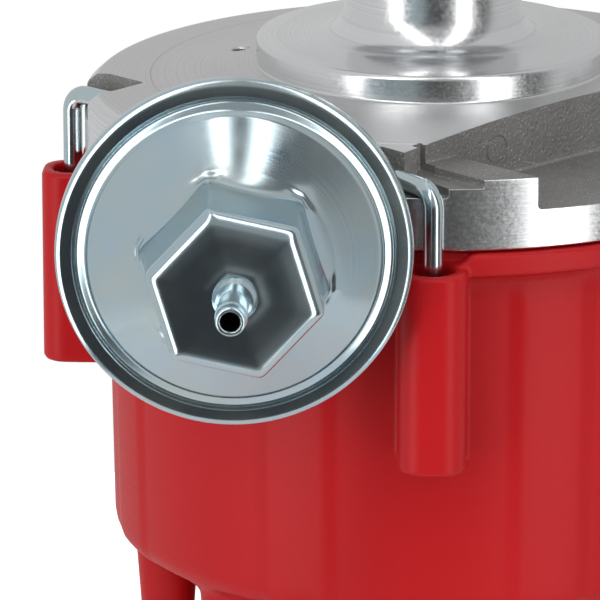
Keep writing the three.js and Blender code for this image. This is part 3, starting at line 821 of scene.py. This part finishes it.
def build_gear():
    teeth, low, high, twist = 13, 114.1, 135.0, math.radians(34)
    shape = []
    outline = ((0.0, 13.4), (0.10, 13.25), (0.2, 13.45), (0.27, 14.2), (0.34, 15.2), (0.4, 15.95),
               (0.45, 16.2), (0.54, 16.2), (0.63, 16.2), (0.68, 15.95), (0.74, 15.2), (0.81, 14.2),
               (0.88, 13.45))
    for tooth in range(teeth):
        for share, radius in outline:
            turn = (tooth + share) / teeth * TAU
            shape.append((radius * math.cos(turn), radius * math.sin(turn)))
    rings = []
    levels = [0, .04] + [k / 14 for k in range(1, 14)] + [.96, 1]
    for level in levels:
        height = low + (high - low) * level
        scale = 1.0 if 0 < level < 1 else 0.965
        c, s = math.cos(twist * level), math.sin(twist * level)
        rings.append([((x * c - y * s) * scale, (x * s + y * c) * scale, height) for x, y in shape])
    body = loops("gear_body", rings, sharp=28)
    hub = lathe("hub", [(0, high - 1), (12, high - 1), (12, 146.5, .8), (0, 146.5)], 96)
    combine(body, [hub], "UNION", 28)
    return combine(body, [rod("bore", 6.6, 100, 160, 64), pin_hole(2.7)], sharp=28)


dress(build_gear(), "drive_gear", "gear_iron")
pin = lathe("roll_pin_tube", [(1.2, -11.6, .2), (2.38, -11.6, .4), (2.38, 11.6, .4), (1.2, 11.6, .2),
                              (1.2, -11.6)], 40, AT_PIN)
combine(pin, [block("split", -0.3, 0.3, -14, 14, PIN_Z, PIN_Z + 4)])
dress(pin, "gear_roll_pin", "shaft_steel")
dress(lathe("thrust_ring", [(6.6, 112.3), (13.5, 112.3, .3), (13.5, 113.5, .3), (6.6, 113.5)], 96),
      "thrust_washer", "shaft_steel")

# ---------------- cap
CAP_RIM_R, CAP_TOP, SHOULDER = 69.0, -16.5, -91.0
TOWER_AZ, TOWERS, TOWER_RING, TOWER_TIP = -3.5, 8, 52.0, -117.0
LATCH_RING, BOSS_TOP, BOSS_LOW = 70.0, -18.8, -57.0
COVER_SCREWS = ((-36, 0), (36, 0), (0, 30))


def cap_field(x, y, z):
    radius = np.sqrt(x * x + y * y)
    azimuth = np.degrees(np.arctan2(x, -y))
    step = 360 / TOWERS
    off = np.abs((azimuth - TOWER_AZ) % step - step / 2)
    band = np.clip((8.2 - off) / 3.4, 0, 1)
    band = band * band * (3 - 2 * band)
    fade = np.clip((z - SHOULDER) / 70, 0, 1)
    swell = band * (0.35 + 0.4 * fade) * np.clip((-23.5 - z) / 4, 0, 1)
    turns = np.linspace(0, math.pi / 2, 7)
    shoulder = [(57.1 + 5 * math.sin(a), SHOULDER + 5 - 5 * math.cos(a)) for a in turns]
    outline = [(-5, SHOULDER)] + shoulder + [
        (63.2, -25), (63.6, -23.2), (64.6, -22), (66, -21.2), (CAP_RIM_R - .6, -20.2),
        (CAP_RIM_R - .6, CAP_TOP - .6), (-5, CAP_TOP - .6)]
    solid = polygon_field(radius - swell, z, outline) - 0.05
    lip = polygon_field(radius, z, [(60, -20.4), (CAP_RIM_R - .7, -20.0), (CAP_RIM_R - .7, CAP_TOP - .7),
                                    (60, CAP_TOP - .7)])
    solid = blend_union(solid, lip - 0.7, 0.6)
    for azimuth, _ in LATCHES.values():
        out, side = local(x, y, azimuth)
        rise = np.clip((np.abs(side) - 3.6) / 5.0, 0, 1)
        level = BOSS_TOP + (CAP_TOP + 0.6 - BOSS_TOP) * rise * rise * (3 - 2 * rise)
        solid = blend_cut(solid, np.maximum((level - z) * 0.86, 65.4 - out), 0.7)
    hollow = [(-5, -86.5), (54, -86.5), (58.8, -81), (58.8, -22.5), (61.3, -21.5), (61.3, -10), (-5, -10)]
    for k in range(TOWERS):
        out, side = local(x, y, TOWER_AZ + k * step)
        out = out - TOWER_RING
        across = np.sqrt(out * out + side * side)
        cone = polygon_field(across, z, [(-3, -89), (6.5, -89), (6.0, -93), (4.3, TOWER_TIP + .4),
                                         (-3, TOWER_TIP + .4)]) - 0.4
        solid = blend_union(solid, cone, 2.6)
    for azimuth, _ in LATCHES.values():
        out, side = local(x, y, azimuth)
        boss = slab_field(out - 65, side, z, (11, 6.2), 4.6, BOSS_LOW, BOSS_TOP, 0.9)
        solid = blend_union(solid, boss, 0.9)
    out, side = local(x, y, HOOD_AZ)
    hood = box_field(out - 66, side, z + 81, (9, 12, 9), 1.4)
    solid = blend_union(solid, hood, 1.6)
    solid = np.maximum(solid, -polygon_field(radius, z, hollow))
    brush = rod_field(x, y, z, 7, -88, -76, 0.6)
    solid = blend_union(solid, brush, 1.5)
    socket = box_field(out - 68.8, side, z + 85, (4.2, 10, 10), 0.8)
    solid = np.maximum(solid, -socket)
    for offset in (-5.5, 5.5):
        solid = np.maximum(solid, -box_field(out - 69.3, side - offset, z + 70, (1.0, 3.5, 10)))
    for azimuth, _ in LATCHES.values():
        out, side = local(x, y, azimuth)
        out = out - LATCH_RING
        solid = blend_cut(solid, rod_field(out, side, z, 4, -30, 5), 0.5)
        solid = np.maximum(solid, -rod_field(out, side, z, 2.3, -40, 5))
        solid = blend_cut(solid, rod_field(out, side, z, 4.55, -75, -34), 0.4)
    for k in range(TOWERS):
        px, py = polar(TOWER_RING, TOWER_AZ + k * step)
        solid = np.maximum(solid, -rod_field(x - px, y - py, z, 1.95, -130, -60))
    solid = np.maximum(solid, -rod_field(x, y, z, 3.4, -100, -60))
    for px, py in COVER_SCREWS:
        solid = np.maximum(solid, -rod_field(x - px, y - py, z, 1.9, -130, -87.5))
    return solid


cap = field_mesh("cap_moulding", cap_field, (-76, -76, -117), (76, 76, CAP_TOP), 0.85)
dress(cap, "distributor_cap", "red_cap_plastic")

for k in range(TOWERS):
    place = about_z(TOWER_AZ + k * 360 / TOWERS) @ shift(TOWER_RING, 0)
    post = lathe("post", [
        (0, -127), (2.5, -127, .5), (3.2, -126, .3), (3.2, -124, .5), (2.4, -123.1, .6), (2.4, -121, .6),
        (3.2, -120, .5), (3.2, -117.3, .2), (1.6, -117.3), (1.6, -84), (0, -84)], 40, place)
    blade = soften(block("blade", -6.6, 2, -2, 2, -86.1, -62, place), .4, 2)
    dress(merge(f"spark_post_{k + 1}", [post, blade]), f"spark_terminal_{k + 1}", "brass")

# ---------------- coil cover
COVER_X, COVER_Y, COVER_CORNER = 39.0, 33.0, 22
cover_low, cover_high = corner("coil_cover", 0), corner("coil_cover", 1)
COVER_FLOOR, COVER_TOP = cover_low[2], cover_high[2]


def cover_field(x, y, z):
    def slab(grow, low, high, edge):
        half = (COVER_X + grow, COVER_Y + grow)
        return slab_field(x, y, z, half, COVER_CORNER + grow, low, high, edge)

    shell = slab(0, COVER_FLOOR, COVER_TOP, 1.0)
    shell = np.maximum(shell, slab(0, COVER_FLOOR, COVER_TOP + 20, 3.0))
    inner = slab(-2.6, COVER_FLOOR + 2.6, 0, 1.2)
    for px, py in COVER_SCREWS:
        lug = rod_field(x - px, y - py, z, 5, -99, COVER_TOP, .5)
        shell = blend_union(shell, lug, 1.2)
        inner = np.maximum(inner, -rod_field(x - px, y - py, z, 5, -99, 5))
    shell = np.maximum(shell, -inner)
    for px, py in COVER_SCREWS:
        shell = np.maximum(shell, -rod_field(x - px, y - py, z, 1.9, -120, 0))
        shell = blend_cut(shell, rod_field(x - px, y - py, z, 4, -150, -97), 0.5)
    return shell


cover = field_mesh("coil_cover_moulding", cover_field, cover_low, cover_high, 0.8)
dress(cover, "coil_cover", "red_cap_plastic")


def screw(name, place, head, height, shank, length):
    """A washer-faced hexagon screw with its head down and its shank up."""
    shape = [(head * math.cos(TAU * k / 6), head * math.sin(TAU * k / 6)) for k in range(6)]
    top = soften(prism("head", shape, -height, -0.5, place), 0.25, 2)
    flange = lathe("flange", [(0, -0.6), (head, -0.6, .2), (head, 0, .2), (0, 0)], 48, place)
    profile = [(0, -0.2)]
    turns = int(length / 0.7)
    for k in range(turns):
        profile += [(shank, k * 0.7), (shank - 0.28, k * 0.7 + 0.35)]
    profile += [(shank - .3, length - .3), (0, length)]
    thread = lathe("thread", profile, 24, place, sharp=20)
    return merge(name, [top, flange, thread])


for k, (px, py) in enumerate(COVER_SCREWS):
    dress(screw(f"cover_hex_screw_{k + 1}", shift(px, py, -97.3), 3.2, 2.2, 1.55, 8.5),
          f"cover_screw_{k + 1}", "zinc_plated_steel")

# ---------------- latches
BEND, ARM_Z, ARM, HOOK = 3.4, -3.9, 12.0, math.radians(35)


def latch_path(side):
    points = [(0, 0, z) for z in np.linspace(-53.8, ARM_Z - BEND, 18)]
    for k in range(1, 13):
        angle = k / 12 * math.pi / 2
        reach = BEND * (1 - math.cos(angle))
        points.append((-reach * math.cos(HOOK), side * reach * math.sin(HOOK),
                       ARM_Z - BEND + BEND * math.sin(angle)))
    for reach in np.linspace(BEND, ARM, 8)[1:]:
        points.append((-reach * math.cos(HOOK), side * reach * math.sin(HOOK), ARM_Z))
    return points


for name, (azimuth, side) in LATCHES.items():
    place = about_z(azimuth) @ shift(LATCH_RING, 0)
    bar = wire("bar", latch_path(side), 1.85, 28, place)
    head = lathe("latch head", [(0, -56.2), (4.2, -56.2, .6), (4.2, -53.2, .4), (0, -53.2)], 56, place)
    combine(head, [block("slot", -0.7, 0.7, -6, 6, -58, -54.9, place)])
    dress(merge(f"latch_rod_{name}", [bar, head]), f"latch_{name}", "latch_wire")
    coil = helix(f"latch_coil_{name}", 3.3, .85, -52.8, -34.3, 7, place)
    dress(coil, f"latch_spring_{name}", "shaft_steel")

# ---------------- vacuum can
TO_CAN = shift(CAN_X, 0, CAN_Z) @ Matrix.Rotation(math.pi / 2, 4, "X")
CAN_R = (corner("vacuum_can_front", 1)[0] - corner("vacuum_can_front", 0)[0]) / 2
HEX_FACE = -corner("vacuum_can_front", 0)[1]
RIM_FACE, HEX_TURN = 82.8, math.radians(-13)


def hexagon(apothem, angle, hardness=44):
    total = sum(max(0.0, math.cos(angle - HEX_TURN - TAU * (k + .5) / 6)) ** hardness for k in range(6))
    return apothem / total ** (1 / hardness)


CONE_FOOT, CONE_SLOPE, FLARE = (26.3, 84.4), 1.2, 93.5
HALF_FLATS, FACE_EDGE = 14.3, 3.1


def can_radius(angle, height):
    """The front shell's radius round its axis: a cone flowing into a six-sided nose with flared corners."""
    cone = CONE_FOOT[0] - (height - CONE_FOOT[1]) * CONE_SLOPE
    taper = (HEX_FACE - FACE_EDGE - height) * 0.028
    flare = 1.5 * math.exp(-max(0.0, height - FLARE + 2.2) / 1.5)
    nose = hexagon(HALF_FLATS + taper + flare, angle)
    radius = (cone + nose + math.sqrt((cone - nose) ** 2 + 1.0)) / 2
    near_corner = (math.degrees(angle - HEX_TURN) % 60 + 30) % 60 - 30
    fold = math.exp(-(near_corner / 9) ** 4) * math.exp(-((height - FLARE + 1.6) / 0.42) ** 2)
    return radius - 0.42 * fold


def build_can():
    """Rolled rim, crimp line, cone and nose in one skin, closed by the shell's inner side."""
    sides = 360
    outer = [(p, None) for p in rounded([
        (31.2, 80.9), (31.2, 79.2), (CAN_R, 79.3, .6), (CAN_R, 81.4, .4), (CAN_R - .15, RIM_FACE - .62, .5),
        (31.6, RIM_FACE - .2, 1.2), (29.5, RIM_FACE + .02, .35), (29.25, RIM_FACE - .2, .1),
        (29.05, 82.2, .12), (28.8, 82.2, .12), (28.5, 82.6, .3), (27.3, 83.05, .8), (26.9, 83.3)], 6)]
    heights = list(np.arange(84.1, 90, .5)) + list(np.arange(90, 96.5, .2)) + list(np.arange(96.5, 108, .8))
    outer += [(None, h) for h in heights if h < HEX_FACE - FACE_EDGE]
    for k in range(11):
        angle = k / 10 * math.radians(84)
        reach = FACE_EDGE * (1 - math.cos(angle))
        outer.append(((HALF_FLATS - reach, HEX_FACE - FACE_EDGE + (FACE_EDGE - .75) * math.sin(angle)), 0.0))
    flat = HALF_FLATS - FACE_EDGE * (1 - math.cos(math.radians(84)))
    for share, height in ((.92, -.6), (.82, -.49), (.72, -.41), (.62, -.35), (.54, -.3), (.47, -.22),
                          (.42, -.1), (.37, 0)):
        outer.append(((flat * share, HEX_FACE + height), 1 - share))
    inner = [(2.7, HEX_FACE), (2.7, HEX_FACE - 2.2), (11, HEX_FACE - 2.2), (11, 97.5), (13, 94.2),
             (25.6, 82.4), (28.4, 81.2), (28.4, 80.9)]
    rings = []
    for item, extra in outer:
        ring = []
        for k in range(sides):
            angle = TAU * k / sides
            if item is None:
                radius, height = can_radius(angle, extra), extra
            else:
                radius, height = item
                if extra is not None:
                    radius = hexagon(radius, angle) * (1 - extra) ** .5 + radius * (1 - (1 - extra) ** .5)
            ring.append((radius * math.cos(angle), radius * math.sin(angle), height))
        rings.append(ring)
    rings += [[(r * math.cos(TAU * k / sides), r * math.sin(TAU * k / sides), h) for k in range(sides)]
              for r, h in inner]
    return loops("can_front_shell", rings, TO_CAN, sharp=62, closed=True)


dress(build_can(), "vacuum_can_front", "zinc_plated_steel", ZINC_CAN)
CAN_BACK = -corner("vacuum_can_back", 1)[1]
back = lathe("can_rear_shell", [
    (4.5, CAN_BACK), (19.4, CAN_BACK, 2.2), (27.6, 78.8, 1.6), (30.9, 78.9, .2), (30.9, 80.4), (28.6, 80.4),
    (27, 80.2, 1), (18.8, CAN_BACK + 1.2, 1.5), (4.5, CAN_BACK + 1.2)], 224, TO_CAN, sharp=50)
dress(back, "vacuum_can_back", "zinc_plated_steel", ZINC_CAN)
SEAT, TIP = HEX_FACE + .3, -corner("vacuum_nipple", 0)[1]
LEAN = shift(0, 0, SEAT) @ Matrix.Rotation(math.radians(-3.4), 4, "Y") @ shift(0, 0, -SEAT)
nipple = lathe("can_nipple", [
    (1.7, SEAT - 4), (2.4, SEAT - 4), (2.4, SEAT), (4.0, SEAT, .15), (4.05, SEAT + .9, .5),
    (3.3, SEAT + 2.0, 1.0), (2.72, SEAT + 4, 1.2), (2.72, TIP - 4.4, .3), (2.95, TIP - 3.9, .3),
    (2.95, TIP - 3.1, .3), (2.7, TIP - 2.4, .3), (2.7, TIP - .2, .45), (1.85, TIP, .25), (1.7, TIP - .8, .2),
    (1.7, SEAT - 4)], 72, TO_CAN @ LEAN, sharp=50)
dress(nipple, "vacuum_nipple", "zinc_plated_steel", ZINC_CAN)
dress(helix("diaphragm_coil", 7.7, .65, -corner("diaphragm_plate", 0)[1] + .2, 99.8, 6, TO_CAN, 12),
      "diaphragm_spring", "shaft_steel")

# ---------------- CAD pieces that keep their own shape
NODE_LOOKS = (
    (RUBBER, "lead_grommet vacuum_diaphragm"),
    (ZINC_PLAIN, "pickup_plate pole_piece weight_plate advance_weight_a advance_weight_b rotor_screw_1"),
    (ZINC_PLAIN, "rotor_screw_2 condenser diaphragm_plate vacuum_bracket"),
    (CARBON, "magnet_ring centre_brush"), (COPPER, "pickup_coil"), (IRON, "timer_core coil_core"),
    (STEEL, "advance_cam vacuum_link advance_spring_a advance_spring_b"), (RED, "rotor"),
    (BRASS, "rotor_segment battery_blade tach_blade"), (BLACK, "ignition_module coil_winding"),
)
for look, names in NODE_LOOKS:
    for name in names.split():
        node = frame["nodes"][name]
        node.data.materials.clear()
        node.data.materials.append(look)
        node.data.polygons.foreach_set("material_index", [0] * len(node.data.polygons))
        add_bevel(node, 0.25, 2, 40)
        tidy_normals(node)

# ---------------- stage, light and camera
world = bpy.data.worlds.new("studio")
bpy.context.scene.world = world
world.use_nodes = True
tree = world.node_tree
tree.nodes.clear()


def wnode(kind, **settings):
    made = tree.nodes.new(kind)
    for key, value in settings.items():
        setattr(made, key, value)
    return made


def feed(made, values):
    for socket, value in zip(made.inputs, values):
        if hasattr(value, "is_output"):
            tree.links.new(value, socket)
        else:
            socket.default_value = value
    return made.outputs[0]


def wmath(kind, *values):
    return feed(wnode("ShaderNodeMath", operation=kind), values)


def wsmooth(*values):
    """Maps a value from (low, high) to (to_low, to_high) with soft ends."""
    return feed(wnode("ShaderNodeMapRange", interpolation_type="SMOOTHSTEP"), values)


coords = wnode("ShaderNodeTexCoord")
parts = wnode("ShaderNodeSeparateXYZ")
tree.links.new(coords.outputs["Generated"], parts.inputs[0])
dx, dy, dz = parts.outputs
AZ = wmath("MULTIPLY", wmath("ARCTAN2", dx, wmath("MULTIPLY", dy, -1)), 180 / math.pi)
EL = wmath("MULTIPLY", wmath("ARCSINE", dz), 180 / math.pi)


def window(value, low, high, soft):
    """1 between low and high, falling to 0 over soft."""
    rise = wsmooth(value, low - soft, low + soft, 0, 1)
    fall = wsmooth(value, high - soft, high + soft, 1, 0)
    return wmath("MULTIPLY", rise, fall)


# Panels round the object: (from, to, edge softness) in azimuth and in elevation, brightness, and the lean in
# degrees of azimuth per degree of elevation above LEAN_FROM.
LEAN_FROM, LEAN_LIMIT = -16, 78
PANELS = [
    ((-61, -43, 2.0), (-42, 72, 4), 3.8, 0.47),      # strip on the left, leaning in
    ((31, 49, 2.0), (-42, 72, 4), 3.4, -0.12),       # strip on the right
    ((-260, -68, 5.0), (-75, 78, 8), 0.62, 0.47),    # pale wall, left and behind
    ((78, 260, 6.0), (-75, 78, 8), 0.55, -0.12),     # pale wall, right and behind
    ((-42, 30, 6.0), (4, 56, 12), 0.34, 0.0),        # dim wall in front
    ((50, 78, 3.0), (-10, 60, 10), 0.12, 0.0),       # dark gap on the right
    ((12, 32, 8.0), (-48, 2, 10), 0.13, 0.0),        # low glow beside the right strip
]
total = wsmooth(EL, 62, 84, 0.0, 0.6)           # pale ceiling
for (a0, a1, soft_a), (e0, e1, soft_e), level, lean in PANELS:
    along = wmath("MINIMUM", wmath("ADD", EL, -LEAN_FROM), LEAN_LIMIT)
    swung = wmath("SUBTRACT", AZ, wmath("MULTIPLY", along, lean))
    share = wmath("MULTIPLY", window(swung, a0, a1, soft_a), window(EL, e0, e1, soft_e))
    total = wmath("ADD", total, wmath("MULTIPLY", share, level))
total = wmath("ADD", total, wsmooth(EL, -60, -30, 0.45, 0.05))
background = wnode("ShaderNodeBackground")
tree.links.new(total, background.inputs["Strength"])
background.inputs["Color"].default_value = (1, 1, 1, 1)
white = wnode("ShaderNodeBackground")
white.inputs["Color"].default_value = (1, 1, 1, 1)
white.inputs["Strength"].default_value = 1.0
paths = wnode("ShaderNodeLightPath")
mixer = wnode("ShaderNodeMixShader")
tree.links.new(paths.outputs["Is Camera Ray"], mixer.inputs[0])
tree.links.new(background.outputs[0], mixer.inputs[1])
tree.links.new(white.outputs[0], mixer.inputs[2])
output = wnode("ShaderNodeOutputWorld")
tree.links.new(mixer.outputs[0], output.inputs[0])

FLOOR_RADIUS = 190.0
low_z = -PLATE - 0.4
floor = lathe("studio_floor", [(0, low_z - 3), (FLOOR_RADIUS, low_z - 3), (FLOOR_RADIUS, low_z, 1),
                               (0, low_z)], 128)
paint = Look("floor paint")
tone = paint.mix(paint.spread(paint.noise(40, 3), .3, .7, 0, 1), (0.86, 0.86, 0.86), (0.9, 0.9, 0.9))
seen = paint.new("ShaderNodeLightPath").outputs["Is Camera Ray"]
glow = paint.math("ADD", 0.05, paint.math("MULTIPLY", seen, 0.6))
floor.data.materials.append(paint.done(tone, 0.8, Emission_Color=(1, 1, 1), Emission_Strength=glow))

CAMERA_SPOT = (-0.0413, -1.1278, PLATE * MM + 0.2844)
CAMERA_AIM = Vector((0.0133, 0.9598, -0.2802))
camera_data = bpy.data.cameras.new("camera")
camera_data.lens, camera_data.sensor_width = 360, 36
camera_data.clip_end = 20
camera = bpy.data.objects.new("camera", camera_data)
camera.location = CAMERA_SPOT
camera.rotation_euler = CAMERA_AIM.to_track_quat("-Z", "Y").to_euler()
bpy.context.scene.collection.objects.link(camera)
bpy.context.scene.camera = camera
bpy.context.scene.view_settings.view_transform = "Standard"
bpy.context.scene.view_settings.look = "None"
